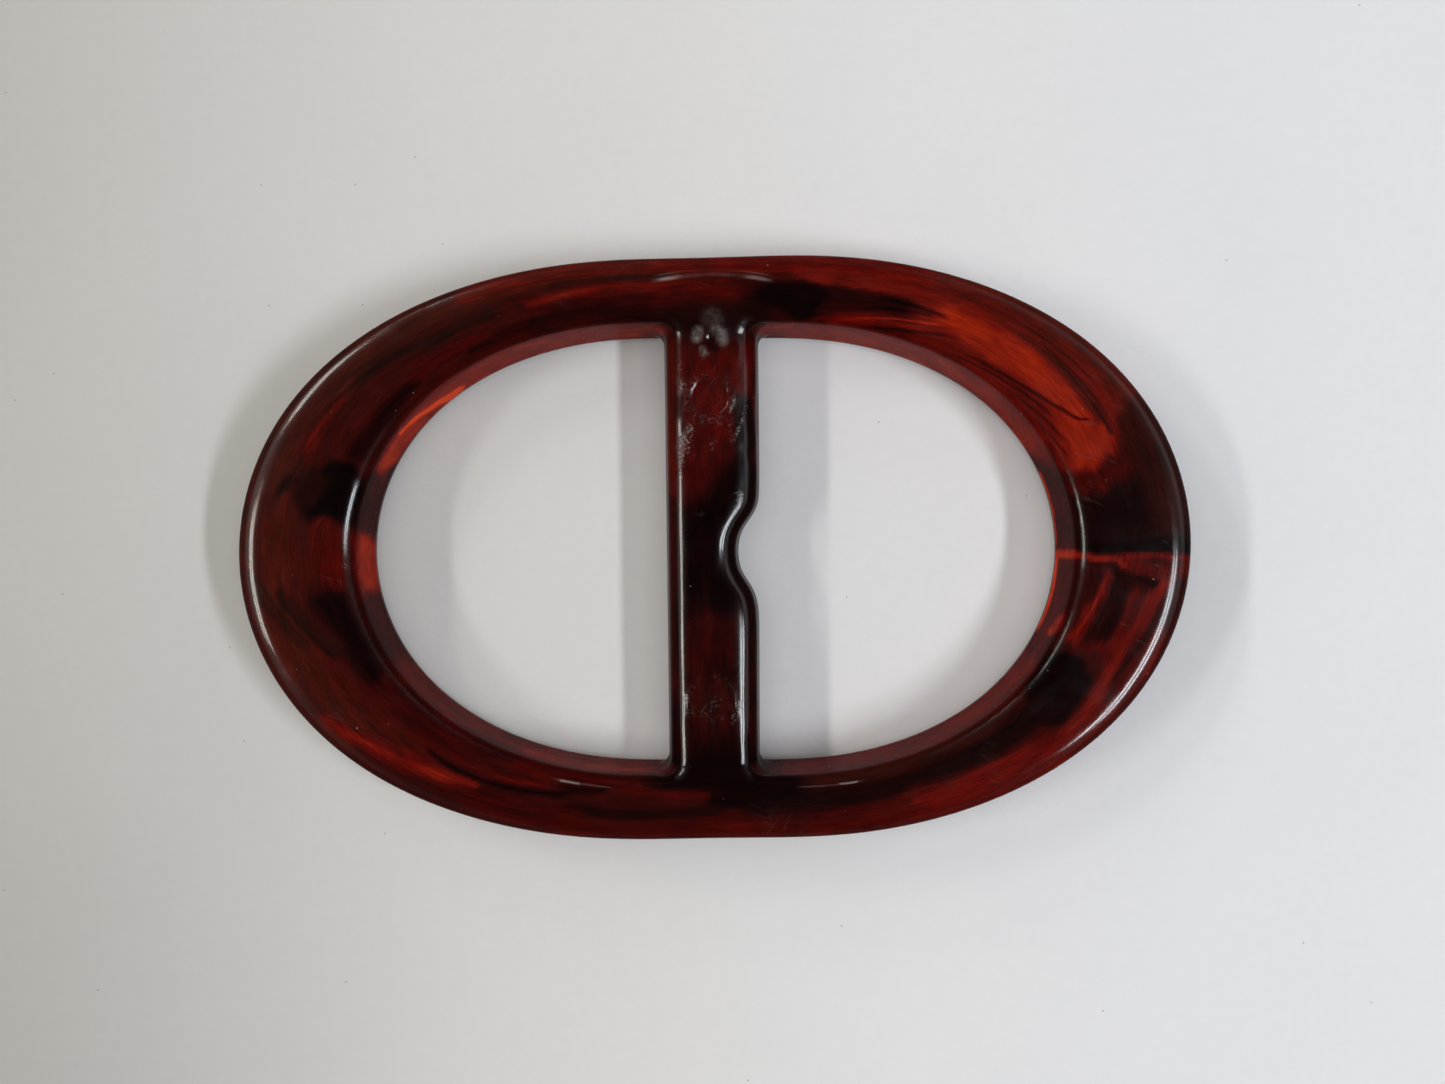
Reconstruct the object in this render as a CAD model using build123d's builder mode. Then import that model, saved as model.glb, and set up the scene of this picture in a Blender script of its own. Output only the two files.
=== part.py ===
from build123d import *
import os
from math import cos, sin, pi, tan, radians, hypot

# Oval slide for hair or a scarf: one wide oval ring crossed at its middle by a
# notched bar.  Millimetres, +Z up.  The slide lies flat on Z = 0 with its
# display face up; the origin is at the centre of the footprint, +X runs along
# the long axis of the oval and +Y along the cross bar.  The notch opens to +X,
# the gate vestige is at the -X end.

os.makedirs("parts", exist_ok=True)

# ---------------------------------------------------------------- dimensions
half_length = 29.90          # ring, widest outline (parting line)
half_width = 18.40
opening_half_length = 21.90  # opening, narrowest outline (parting line)
opening_half_width = 13.56

parting_z = 1.10             # height of the parting line
rim_z = 5.045                # face height where the slope meets the opening wall
brow_z = 4.70                # face height at the outer wall

outer_draft = 5.0            # degrees, outer wall above the parting line
inner_draft = 8.0            # degrees, inner wall above the parting line
base_draft = 3.0             # degrees, both walls below the parting line

outer_brow_r = 1.45          # rounding, outer wall to face
inner_rim_r = 0.90           # rounding, face to inner wall
base_outer_r = 0.80          # rounding, outer wall to underside
base_inner_r = 0.60          # rounding, inner wall to underside

bar_base_half = 3.00         # cross bar, half width at its underside
bar_draft = 6.5              # degrees, sides of the bar
bar_bottom_z = 1.50          # underside of the bar, clear of the table
bar_top_z = 4.70             # top of the bar, just under the face
bar_edge_r = 0.90            # rounding of the bar's top edges
bar_base_r = 0.55            # rounding of the bar's lower edges
bar_offset_x = -0.12         # the bar sits a hair off the ring's centre
root_r = 0.95                # plan radius where the bar runs into the ring
joint_y = 12.45              # planes where the bar ends and the ring begins

notch_depth = 1.35           # notch in the +X side of the bar
notch_r = 2.70               # radius of its floor
notch_shoulder_r = 1.60      # radius of its two shoulders

ejector_r = 1.25             # round ejector witness marks on the bar's top
ejector_x = -0.28
ejector_y = 9.30
ejector_depth = 0.10

gate_width = 0.90            # gate vestige on the outer wall, at the -X end
gate_height = 0.90
gate_z = 1.45                # just above the parting line
gate_proud = 0.55            # how far it stands past the widest outline

outer_fullness = 23.30       # radius of the outer outline at 45 degrees
inner_fullness = 17.34       # radius of the opening at 45 degrees

quarter_points = 7           # spans in a quarter of an outline


# ------------------------------------------------------------------ outlines
def oval(z, half_x, half_y, fullness, grow=0.0):
    """Closed oval face at height z.  The radius is a short even cosine series;
    'fullness' is the radius at 45 degrees, and 'grow' offsets the outline along
    its normal.  One quarter is drawn as a spline and mirrored twice, so the
    four quarters meet with the same tangent and curvature."""
    c0 = (half_x + half_y) / 4.0 + fullness / 2.0
    c1 = (half_x - half_y) / 2.0
    c2 = (half_x + half_y) / 4.0 - fullness / 2.0
    pts = []
    for i in range(quarter_points + 1):
        t = 0.5 * pi * i / quarter_points
        r = c0 + c1 * cos(2 * t) + c2 * cos(4 * t)
        dr = -2 * c1 * sin(2 * t) - 4 * c2 * sin(4 * t)
        tx, ty = dr * cos(t) - r * sin(t), dr * sin(t) + r * cos(t)
        m = hypot(tx, ty)
        pts.append((r * cos(t) + grow * ty / m, r * sin(t) - grow * tx / m))
    pts[0], pts[-1] = (half_x + grow, 0.0), (0.0, half_y + grow)
    with BuildSketch(Plane.XY.offset(z)) as face:
        with BuildLine():
            Spline(*pts, tangents=[(0, 1), (-1, 0)])
            mirror(about=Plane.YZ)
            mirror(about=Plane.XZ)
        make_face()
    return face.sketch


def outer_oval(z, grow):
    return oval(z, half_length, half_width, outer_fullness, grow)


def inner_oval(z, grow):
    return oval(z, opening_half_length, opening_half_width, inner_fullness, grow)


over_z = rim_z + 0.6                         # height the walls are run up to
outer_top_grow = -(over_z - parting_z) * tan(radians(outer_draft))
outer_brow_grow = -(brow_z - parting_z) * tan(radians(outer_draft))
inner_top_grow = (over_z - parting_z) * tan(radians(inner_draft))
base_shrink = parting_z * tan(radians(base_draft))

# ---------------------------------------------------------------- oval ring
# Outer body: a short drafted skirt below the parting line, a taller drafted
# wall above it.
with BuildPart() as skirt:
    loft(sections=[outer_oval(0, -base_shrink), outer_oval(parting_z, 0)], ruled=True)

with BuildPart() as wall:
    loft(sections=[outer_oval(parting_z, 0), outer_oval(over_z, outer_top_grow)], ruled=True)

# The opening: narrowest at the parting line, opening out both ways.
with BuildPart() as opening_low:
    loft(sections=[inner_oval(0, base_shrink), inner_oval(parting_z, 0)], ruled=True)

with BuildPart() as opening_high:
    loft(sections=[inner_oval(parting_z, 0), inner_oval(over_z, inner_top_grow)], ruled=True)

# The face slopes gently from the inner rim down to the outer wall: the ring is
# cut to what lies under that slope.
with BuildPart() as under_face:
    loft(sections=[outer_oval(brow_z, outer_brow_grow), inner_oval(rim_z + 0.06, -0.9)], ruled=True)

with BuildPart() as under_brow:
    with BuildSketch(Plane.XY) as apron:
        Rectangle(2 * half_length + 4, 2 * half_width + 4)
    extrude(amount=brow_z)

with BuildPart() as ring:
    add(skirt.part)
    add(wall.part)
    add(under_brow.part, mode=Mode.INTERSECT)
    add(under_face.part)
    add(opening_low.part, mode=Mode.SUBTRACT)
    add(opening_high.part, mode=Mode.SUBTRACT)

# Rounded edges, picked by height; a loop longer than 130 mm is an outer one.
with BuildPart() as rounded_ring:
    add(ring.part)
    brow_edge = rounded_ring.edges().filter_by(
        lambda e: e.length > 130 and e.bounding_box().min.Z > brow_z - 0.02)
    fillet(brow_edge, radius=outer_brow_r)
    rim_edge = rounded_ring.edges().filter_by(
        lambda e: 90 < e.length < 130 and e.bounding_box().min.Z > brow_z)
    fillet(rim_edge, radius=inner_rim_r)
    foot_outer = rounded_ring.edges().filter_by(
        lambda e: e.length > 130 and e.bounding_box().max.Z < 0.01)
    fillet(foot_outer, radius=base_outer_r)
    foot_inner = rounded_ring.edges().filter_by(
        lambda e: 90 < e.length < 130 and e.bounding_box().max.Z < 0.01)
    fillet(foot_inner, radius=base_inner_r)

# ---------------------------------------------------------------- cross bar
root_y = opening_half_width + 0.12           # flare line at the bar's underside
root_y_top = opening_half_width + 0.90       # the same line at the bar's top
root_tab = 2.8                               # tab buried in the ring's section


def bar_plan(z):
    """Plan of the bar at height z: a straight bar that flares into the ring at
    both ends, with the notch scooped from its +X side.  Drafted sides make it
    narrower as z rises."""
    rise = z - bar_bottom_z
    pull = rise * tan(radians(bar_draft))
    half = bar_base_half - pull
    tab_y = root_y + (root_y_top - root_y) * rise / (bar_top_z - bar_bottom_z)
    tab_end = root_y + root_tab - pull
    tab_half = bar_base_half + 2.0 - pull
    floor_x = bar_offset_x + half - notch_depth
    with BuildSketch(Plane.XY.offset(z)) as plan:
        with Locations((bar_offset_x, 0)):
            Rectangle(2 * half, 2 * tab_end)
        with Locations((bar_offset_x, (tab_y + tab_end) / 2),
                       (bar_offset_x, -(tab_y + tab_end) / 2)):
            Rectangle(2 * tab_half, tab_end - tab_y)
        fillet(plan.vertices().filter_by(
            lambda v: abs(abs(v.Y) - tab_y) < 0.01
            and abs(abs(v.X - bar_offset_x) - half) < 0.01), radius=root_r + pull)
        with Locations((floor_x + notch_r + pull, 0)):
            Circle(notch_r + pull, mode=Mode.SUBTRACT)
        fillet(plan.vertices().filter_by(
            lambda v: abs(v.Y) < notch_r + 1
            and abs(v.X - bar_offset_x - half) < 0.05), radius=notch_shoulder_r - pull)
    return plan.sketch


with BuildPart() as bar:
    loft(sections=[bar_plan(bar_bottom_z), bar_plan(bar_top_z)], ruled=True)
    # round the long edges, the notch and the flares, but not the buried tabs
    top_edges = bar.edges().filter_by(
        lambda e: e.bounding_box().min.Z > bar_top_z - 0.01 and abs(e.center().Y) < root_y_top - 0.2)
    fillet(top_edges, radius=bar_edge_r)
    low_edges = bar.edges().filter_by(
        lambda e: e.bounding_box().max.Z < bar_bottom_z + 0.01 and abs(e.center().Y) < root_y - 0.05)
    fillet(low_edges, radius=bar_base_r)
    # round witness marks left by the two ejector pins
    with BuildSketch(Plane.XY.offset(bar_top_z - ejector_depth)) as witness:
        with Locations((ejector_x, ejector_y), (ejector_x, -ejector_y)):
            Circle(ejector_r)
    extrude(amount=1.0, mode=Mode.SUBTRACT)

# ------------------------------------------------------- the whole moulding
# Ring and bar come out of one mould; the gate vestige is a small stub at -X.
with BuildPart() as moulding:
    add(rounded_ring.part)
    add(bar.part)
    with BuildSketch(Plane.YZ.offset(-half_length + 0.6)) as gate:
        with Locations((0, gate_z)):
            Rectangle(gate_width, gate_height)
    extrude(amount=-(0.6 + gate_proud), taper=14)

# ------------------------------------------------------------- the two nodes
with BuildPart() as oval_frame:
    add(moulding.part)
    with Locations((0, 0, 3)):
        Box(2 * (bar_base_half + 1.5), 2 * joint_y, 10, mode=Mode.SUBTRACT)

with BuildPart() as centre_bar:
    add(moulding.part)
    with Locations((0, 0, 3)):
        Box(2 * (bar_base_half + 1.5), 2 * joint_y, 10, mode=Mode.INTERSECT)

oval_frame.part.label = "oval_frame"
centre_bar.part.label = "centre_bar"
export_step(oval_frame.part, "parts/oval_frame.step")
export_step(centre_bar.part, "parts/centre_bar.step")

for node in (moulding, oval_frame, centre_bar):
    size = node.part.bounding_box()
    print(node.part.label or "whole", node.part.is_valid, len(node.part.solids()),
          round(node.part.volume, 1), [round(v, 3) for v in (*size.min, *size.max)])
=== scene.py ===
import bpy
import bmesh
import math
import numpy as np
from mathutils import Matrix, Vector


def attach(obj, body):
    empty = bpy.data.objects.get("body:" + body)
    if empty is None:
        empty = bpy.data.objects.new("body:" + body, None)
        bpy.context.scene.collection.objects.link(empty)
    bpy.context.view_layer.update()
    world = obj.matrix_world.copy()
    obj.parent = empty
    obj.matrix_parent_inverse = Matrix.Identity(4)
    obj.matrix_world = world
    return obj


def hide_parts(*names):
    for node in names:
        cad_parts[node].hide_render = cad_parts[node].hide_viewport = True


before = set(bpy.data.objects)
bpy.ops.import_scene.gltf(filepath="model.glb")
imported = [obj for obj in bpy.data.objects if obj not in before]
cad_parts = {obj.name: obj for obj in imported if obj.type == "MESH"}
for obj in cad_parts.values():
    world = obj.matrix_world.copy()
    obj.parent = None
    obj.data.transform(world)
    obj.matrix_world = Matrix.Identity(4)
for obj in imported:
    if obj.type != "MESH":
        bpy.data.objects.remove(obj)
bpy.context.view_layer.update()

# ------------------------------------------------------------------ shape
# Everything below is in millimetres, in the row frame.
PARTING_Z = 1.10
FACE_Z = 5.00            # inner rim of the face
FACE_DROP = 0.34         # how much lower the face is at the outer wall
BAR_TOP = 4.70
BAR_BOTTOM = 1.50
JOINT_Y = 12.45


def polar(a, b, r45, c3=0.0, c4=0.0):
    """Even cosine series with the given half length, half width and 45 degree radius."""
    m = 0.5 * (a + b)
    return np.array([0.5 * (m + r45) - c4, 0.5 * (a - b) - c3, 0.5 * (m - r45), c3, c4])


OUTER = dict(c=polar(29.93, 18.38, 23.32, 0.05, -0.03), turn=math.radians(0.85), at=(0.0, 0.0))
INNER = dict(c=polar(21.82, 13.50, 17.27, 0.03, -0.02), turn=math.radians(-0.15), at=(0.02, -0.085))


def radius(c, t):
    k = 2 * np.arange(len(c))
    r = sum(ck * np.cos(kk * t) for ck, kk in zip(c, k))
    dr = sum(-ck * kk * np.sin(kk * t) for ck, kk in zip(c, k))
    ddr = sum(-ck * kk * kk * np.cos(kk * t) for ck, kk in zip(c, k))
    return r, dr, ddr


def from_oval(x, y, oval):
    """Signed distance to an outline (positive outside) and the angle of the nearest point."""
    ct, st = math.cos(oval["turn"]), math.sin(oval["turn"])
    px, py = x - oval["at"][0], y - oval["at"][1]
    u, v = px * ct + py * st, -px * st + py * ct
    t = np.arctan2(v * 1.25, u)
    for _ in range(7):
        r, dr, ddr = radius(oval["c"], t)
        c, s = np.cos(t), np.sin(t)
        cx, cy = r * c, r * s
        tx, ty = dr * c - r * s, dr * s + r * c
        nx, ny = ddr * c - 2 * dr * s - r * c, ddr * s + 2 * dr * c - r * s
        f = (cx - u) * tx + (cy - v) * ty
        g = tx * tx + ty * ty + np.maximum((cx - u) * nx + (cy - v) * ny, -0.6 * (tx * tx + ty * ty))
        t = t - np.clip(f / g, -0.25, 0.25)
    r, dr, _ = radius(oval["c"], t)
    c, s = np.cos(t), np.sin(t)
    tx, ty = dr * c - r * s, dr * s + r * c
    m = np.hypot(tx, ty)
    return ((u - r * c) * ty - (v - r * s) * tx) / m, t


def rmax(a, b, r):
    """Intersection of two solids with the shared edge rounded to radius r."""
    p, q = np.maximum(a + r, 0), np.maximum(b + r, 0)
    return np.hypot(p, q) - r + np.minimum(np.maximum(a + r, b + r), 0)


def emax(a, b, ra, rb):
    """Intersection with an elliptical edge: it starts ra inside a's side and rb inside b's."""
    return rmax(a * (rb / ra), b, rb)


def rmin(a, b, r):
    """Union of two solids with a fillet of radius r."""
    return -rmax(-a, -b, r)


def bell(d, w):
    return np.exp(-(d / w) ** 2)


def ramp(x, lo, hi):
    t = np.clip((x - lo) / (hi - lo), 0, 1)
    return t * t * (3 - 2 * t)


# The +X side of the bar, with the notch: (y, x) in mm at the height where the bar is widest.
NOTCH = np.array([
    (-16.0, 2.76), (-9.0, 2.77), (-4.6, 2.78), (-3.75, 2.73), (-3.1, 2.60), (-2.62, 2.42), (-2.22, 2.18),
    (-1.86, 1.90), (-1.55, 1.70), (-1.20, 1.57), (-0.75, 1.49), (-0.2, 1.46), (0.35, 1.50), (0.80, 1.60),
    (1.18, 1.76), (1.52, 1.99), (1.86, 2.25), (2.20, 2.50), (2.55, 2.68), (3.0, 2.78), (3.6, 2.81), (4.6, 2.83),
    (9.0, 2.82), (16.0, 2.76)])


def spline_table(tab, n=2001):
    """Smooth lookup through a short table: straight-line interpolation, then a light blur."""
    y = np.linspace(tab[0, 0], tab[-1, 0], n)
    x = np.interp(y, tab[:, 0], tab[:, 1])
    w = 0.32 / (y[1] - y[0])
    k = np.arange(-int(3 * w), int(3 * w) + 1)
    g = np.exp(-0.5 * (k / w) ** 2)
    g /= g.sum()
    x = np.convolve(np.pad(x, len(k) // 2, mode="edge"), g, mode="valid")
    return y, x, np.gradient(x, y)


NY, NX, NS = spline_table(NOTCH)


def face_height(x, y, t, w):
    """Height of the ring's face: a soft crown, with the faint unevenness of a moulded part."""
    z = FACE_Z - FACE_DROP * (w / 8.0) ** 1.5 * t ** 2.2
    z = z + 0.012 * np.sin(0.31 * x + 1.1) * np.sin(0.43 * y + 0.4) - 0.012
    # sink mark over the bar's upper root
    z = z - 0.035 * bell(x + 0.2, 3.4) * bell(y - 16.3, 0.9)
    return z


def bar_height(x, y):
    """Height of the bar's top, with its witness marks and flow lumps."""
    z = BAR_TOP - 0.018 * ((x + 0.2) / 2.4) ** 2 + 0.010 * np.sin(0.9 * y + 0.5)
    for (ex, ey, deep, rim) in ((-0.28, 9.32, 0.06, 0.028), (-0.28, -9.30, 0.035, 0.018)):
        d = np.hypot(x - ex, y - ey)
        z = z - deep * (1 - ramp(d, 1.06, 1.26)) + rim * bell(d - 1.36, 0.15)
    # raised flow lumps and dimples near the upper root
    for (lx, ly, w, hgt) in ((-0.75, 13.20, 0.60, 0.15), (0.58, 13.15, 0.64, 0.17), (-0.38, 12.20, 0.50, 0.08),
                             (-0.10, 12.90, 0.36, -0.11), (0.95, 12.35, 0.40, -0.06), (-1.1, 12.2, 0.45, -0.06),
                             (-2.0, 9.9, 0.32, 0.05), (-1.6, 8.5, 0.32, 0.03), (-1.35, 7.9, 0.30, 0.04),
                             (-1.0, 10.7, 0.30, 0.05), (0.6, 10.75, 0.28, 0.04),
                             (-0.35, -8.1, 0.45, 0.035), (0.25, -10.6, 0.40, 0.03)):
        z = z + hgt * bell(np.hypot(x - lx, y - ly), w)
    return z


# the outline as moulded is a little inside the drawn one, in mm every 30 degrees from 15
TRIM = np.fft.rfft([0.075, 0.080, 0.100, 0.150, 0.127, 0.096, 0.117, 0.125, 0.175, 0.090, 0.050, 0.150]) / 12


def trim(x, y):
    a = np.arctan2(y, x) - math.radians(15)
    return TRIM[0].real + sum(2 * (TRIM[n].real * np.cos(n * a) - TRIM[n].imag * np.sin(n * a)) for n in (1, 2, 3))


def solid(x, y, z, flat=None):
    """Implicit function of the whole moulding: negative inside."""
    do, di = flat if flat is not None else (from_oval(x, y, OUTER)[0], from_oval(x, y, INNER)[0])
    up, down = np.maximum(z - PARTING_Z, 0), np.maximum(PARTING_Z - z, 0)
    w = np.maximum(di - do, 0.5)
    t = np.clip(di / w, 0, 1)
    w = np.clip(w, 4.0, 8.4)
    k = np.sqrt(w / 8.0)
    lip = k * (0.90 + 0.50 * ramp(np.abs(x), 5.0, 14.0))
    t5, t8, t3 = math.tan(math.radians(5)), math.tan(math.radians(8)), math.tan(math.radians(3))
    wo = (do + trim(x, y) + t5 * up + t3 * down) * math.cos(math.radians(5))
    wi = (-di + t8 * up + t3 * down) * math.cos(math.radians(8))
    # the parting line: the two mould halves leave a hair of a ridge
    seam = 0.022 * bell(z - PARTING_Z, 0.16)
    wo, wi = wo - seam, wi - seam
    top, bot = z - face_height(x, y, t, w), -z
    ring = np.maximum(np.maximum(emax(wo, top, 1.40 * k, 0.75 * k), emax(wi, top, lip, 0.90 * k)),
                      np.maximum(rmax(wo, bot, 0.80), rmax(wi, bot, 0.60)))
    # cross bar
    t6 = math.tan(math.radians(6.5))
    xl = -3.07 - 0.0075 * (y + 1.0)
    xr = np.interp(y, NY, NX)
    sl = np.interp(y, NY, NS)
    left = (xl + t6 * (z - 2.0) - x) * 0.9935
    right = (x - xr + t6 * (z - 2.0)) * 0.9935 / np.sqrt(1 + sl * sl)
    # a gouge in the +X shoulder above the notch
    right = right + 0.10 * bell(y - 8.2, 1.3) * bell(z - 4.2, 0.9) + 0.05 * bell(y - 5.9, 0.5) * bell(z - 4.3, 0.7)
    topb, botb = z - bar_height(x, y), BAR_BOTTOM - z
    end = ramp(np.abs(y), 10.5, 13.0)
    bar = np.maximum(np.maximum(emax(left, topb, 1.50 - 0.25 * end, 1.05 + 0.20 * end), emax(right, topb, 1.75 - 0.53 * end, 1.00 + 0.22 * end)),
                     np.maximum(rmax(left, botb, 0.60), rmax(right, botb, 0.60)))
    bar = rmax(bar, np.abs(y) - 14.2, 0.5)
    f = rmin(ring, bar, 0.85)
    # gate vestige: a small broken-off stub just above the parting line
    gx, gy, gz = x + 29.75, y + 0.02, z - 1.45
    taper = 0.62 * np.clip(-gx, 0, 0.8)
    g = np.maximum(np.maximum(np.abs(gy + 0.25 * gx) - 0.42 + taper, np.abs(gz) - 0.40 + 0.5 * taper),
                   np.maximum(-gx - 0.66, gx - 0.5))
    return rmin(f, g, 0.12)


def gradient(x, y, z, e=0.004):
    """Value and gradient of the implicit function."""
    f = solid(x, y, z)
    gx = (solid(x + e, y, z) - solid(x - e, y, z)) / (2 * e)
    gy = (solid(x, y + e, z) - solid(x, y - e, z)) / (2 * e)
    gz = (solid(x, y, z + e) - solid(x, y, z - e)) / (2 * e)
    return f, np.stack([gx, gy, gz], axis=1)


def surface(h):
    """Quads of the zero level on a regular grid of pitch h (dual method), each vertex at the mean of the crossings on
    its cell's edges; relax() pulls them onto the exact surface.  Grid planes fall on the two joint planes."""
    ny = int(math.ceil((18.9 - JOINT_Y) / h))
    ys = np.concatenate([np.linspace(-JOINT_Y, JOINT_Y, int(round(2 * JOINT_Y / h)) + 1)])
    hy = ys[1] - ys[0]
    ys = np.concatenate([ys[0] - hy * np.arange(ny, 0, -1), ys, ys[-1] + hy * np.arange(1, ny + 1)])
    xs = np.arange(-30.9, 30.5, h)
    zs = np.arange(4.78 - h * math.ceil(4.98 / h), 5.0 + 2.2 * h, h)
    gx, gy = np.meshgrid(xs, ys, indexing="ij")
    do = from_oval(gx.ravel(), gy.ravel(), OUTER)[0].reshape(gx.shape)
    di = from_oval(gx.ravel(), gy.ravel(), INNER)[0].reshape(gx.shape)
    F = np.empty((len(xs), len(ys), len(zs)))
    for k, z in enumerate(zs):
        F[:, :, k] = solid(gx, gy, np.full_like(gx, z), (do, di))
    inside = F < 0
    n = [s - 1 for s in F.shape]
    count = np.zeros(n, int)
    for a in (0, 1):
        for b in (0, 1):
            for c in (0, 1):
                count += inside[a:a + n[0], b:b + n[1], c:c + n[2]]
    cells = np.argwhere((count > 0) & (count < 8))
    index = -np.ones(n, int)
    index[tuple(cells.T)] = np.arange(len(cells))
    P = np.stack([xs[cells[:, 0]], ys[cells[:, 1]], zs[cells[:, 2]]], axis=1)
    step = np.array([h, hy, h])
    acc, num = np.zeros_like(P), np.zeros(len(P))
    corner = {}
    for a in (0, 1):
        for b in (0, 1):
            for c in (0, 1):
                corner[a, b, c] = F[cells[:, 0] + a, cells[:, 1] + b, cells[:, 2] + c]
    for axis in range(3):
        for p in (0, 1):
            for q in (0, 1):
                lo = [p, q]
                lo.insert(axis, 0)
                hi = list(lo)
                hi[axis] = 1
                fa, fb = corner[tuple(lo)], corner[tuple(hi)]
                cross = (fa < 0) != (fb < 0)
                s = np.where(cross, fa / np.where(cross, fa - fb, 1), 0)
                pt = np.array(lo, float)[None] * step + 0
                add = np.repeat(pt, len(P), axis=0)
                add[:, axis] = s * step[axis]
                acc[cross] += add[cross]
                num[cross] += 1
    P = P + acc / num[:, None]
    quads = []
    for axis in range(3):
        sl = [slice(1, -1)] * 3
        sl[axis] = slice(0, -1)
        lo = inside[tuple(sl)]
        sh = list(sl)
        sh[axis] = slice(1, None)
        hi = inside[tuple(sh)]
        e = np.argwhere(lo != hi)
        first = lo[tuple(e.T)]
        base = e.copy()
        for k in range(3):
            if k != axis:
                base[:, k] += 1
        u, v = [(1, 2), (2, 0), (0, 1)][axis]
        ring = []
        for (da, db) in ((-1, -1), (0, -1), (0, 0), (-1, 0)):
            c = base.copy()
            c[:, u] += da
            c[:, v] += db
            ring.append(index[tuple(c.T)])
        q = np.stack(ring, axis=1)
        q[~first] = q[~first][:, ::-1]
        quads.append(q)
    Q = np.concatenate(quads)
    return P, Q


def relax(P, Q, rounds=3):
    """Evens out the quads along the surface, and puts every vertex on it."""
    n = len(P)
    nb = np.concatenate([Q[:, [0, 1]], Q[:, [1, 2]], Q[:, [2, 3]], Q[:, [3, 0]]])
    nb = np.concatenate([nb, nb[:, ::-1]])
    deg = np.bincount(nb[:, 0], minlength=n)
    for r in range(rounds):
        f, g = gradient(*P.T)
        P = P - (f / np.maximum((g * g).sum(1), 1e-6))[:, None] * g
        if r < rounds - 1:
            mean = np.stack([np.bincount(nb[:, 0], weights=P[nb[:, 1], k], minlength=n) for k in range(3)], axis=1)
            mean /= deg[:, None]
            N = g / np.linalg.norm(g, axis=1)[:, None]
            d = mean - P
            d -= (d * N).sum(1)[:, None] * N
            P = P + 0.5 * d
    return P


def flow(P):
    """Per point: the angle round the ring by arc length in degrees, how far across the ring
    (0 inner edge, 1 outer edge), and how far outside the opening in mm."""
    x, y, z = P.T
    do, to = from_oval(x, y, OUTER)
    di, ti = from_oval(x, y, INNER)
    c, s = 0.0, 0.0
    for oval, t in ((OUTER, to), (INNER, ti)):
        g = np.linspace(-math.pi, math.pi, 4001)
        r, dr, _ = radius(oval["c"], g)
        w = np.hypot(r, dr)
        arc = np.concatenate([[0], np.cumsum(0.5 * (w[1:] + w[:-1]))])
        arc = (arc / arc[-1] * 2 - 1) * math.pi
        u = np.interp((t + math.pi) % (2 * math.pi) - math.pi, g, arc)
        c, s = c + np.cos(u), s + np.sin(u)
    return np.degrees(np.arctan2(s, c)), di / np.maximum(di - do, 0.5), di


def noise(x, y, z, seed=0):
    """Smooth value noise from -1 to 1, the same on every run."""
    xi, yi, zi = np.floor(x), np.floor(y), np.floor(z)
    fx, fy, fz = x - xi, y - yi, z - zi
    fx, fy, fz = (f * f * (3 - 2 * f) for f in (fx, fy, fz))
    xi, yi, zi = (v.astype(np.int64) for v in (xi, yi, zi))
    total = 0.0
    for a in (0, 1):
        for b in (0, 1):
            for c in (0, 1):
                h = ((xi + a) * 73856093) ^ ((yi + b) * 19349663) ^ ((zi + c) * 83492791) ^ (seed * 40503 + 97)
                h = ((h ^ (h >> 13)) * 1274126177) & 0xFFFFFFFF
                h = ((h ^ (h >> 15)) * 668265263) & 0xFFFFFFFF
                h = (h ^ (h >> 16)) & 0xFFFF
                total = total + (h / 65535.0) * (fx if a else 1 - fx) * (fy if b else 1 - fy) * (fz if c else 1 - fz)
    return total * 2 - 1


PER_DEGREE = 0.376       # mm along the middle of the ring per degree
ACROSS = 6.4             # mm across the ring, on average


def brush(u, v, pts, half, soft):
    """Cover 0..1 of a stroke: pts in mm, half its half width in mm (one value, or first and last)."""
    h0, h1 = half if isinstance(half, tuple) else (half, half)
    n = max(len(pts) - 1, 1)
    best = np.full(u.shape, 1e9)
    for k in range(n):
        (ax, ay), (bx, by) = pts[k], pts[min(k + 1, len(pts) - 1)]
        ll = (bx - ax) ** 2 + (by - ay) ** 2 + 1e-9
        s = np.clip(((u - ax) * (bx - ax) + (v - ay) * (by - ay)) / ll, 0, 1)
        d = np.hypot(u - ax - s * (bx - ax), v - ay - s * (by - ay))
        best = np.minimum(best, d / (h0 + (h1 - h0) * (k + s) / n))
    return 1 - ramp(best, 1 - soft, 1 + soft)
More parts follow.
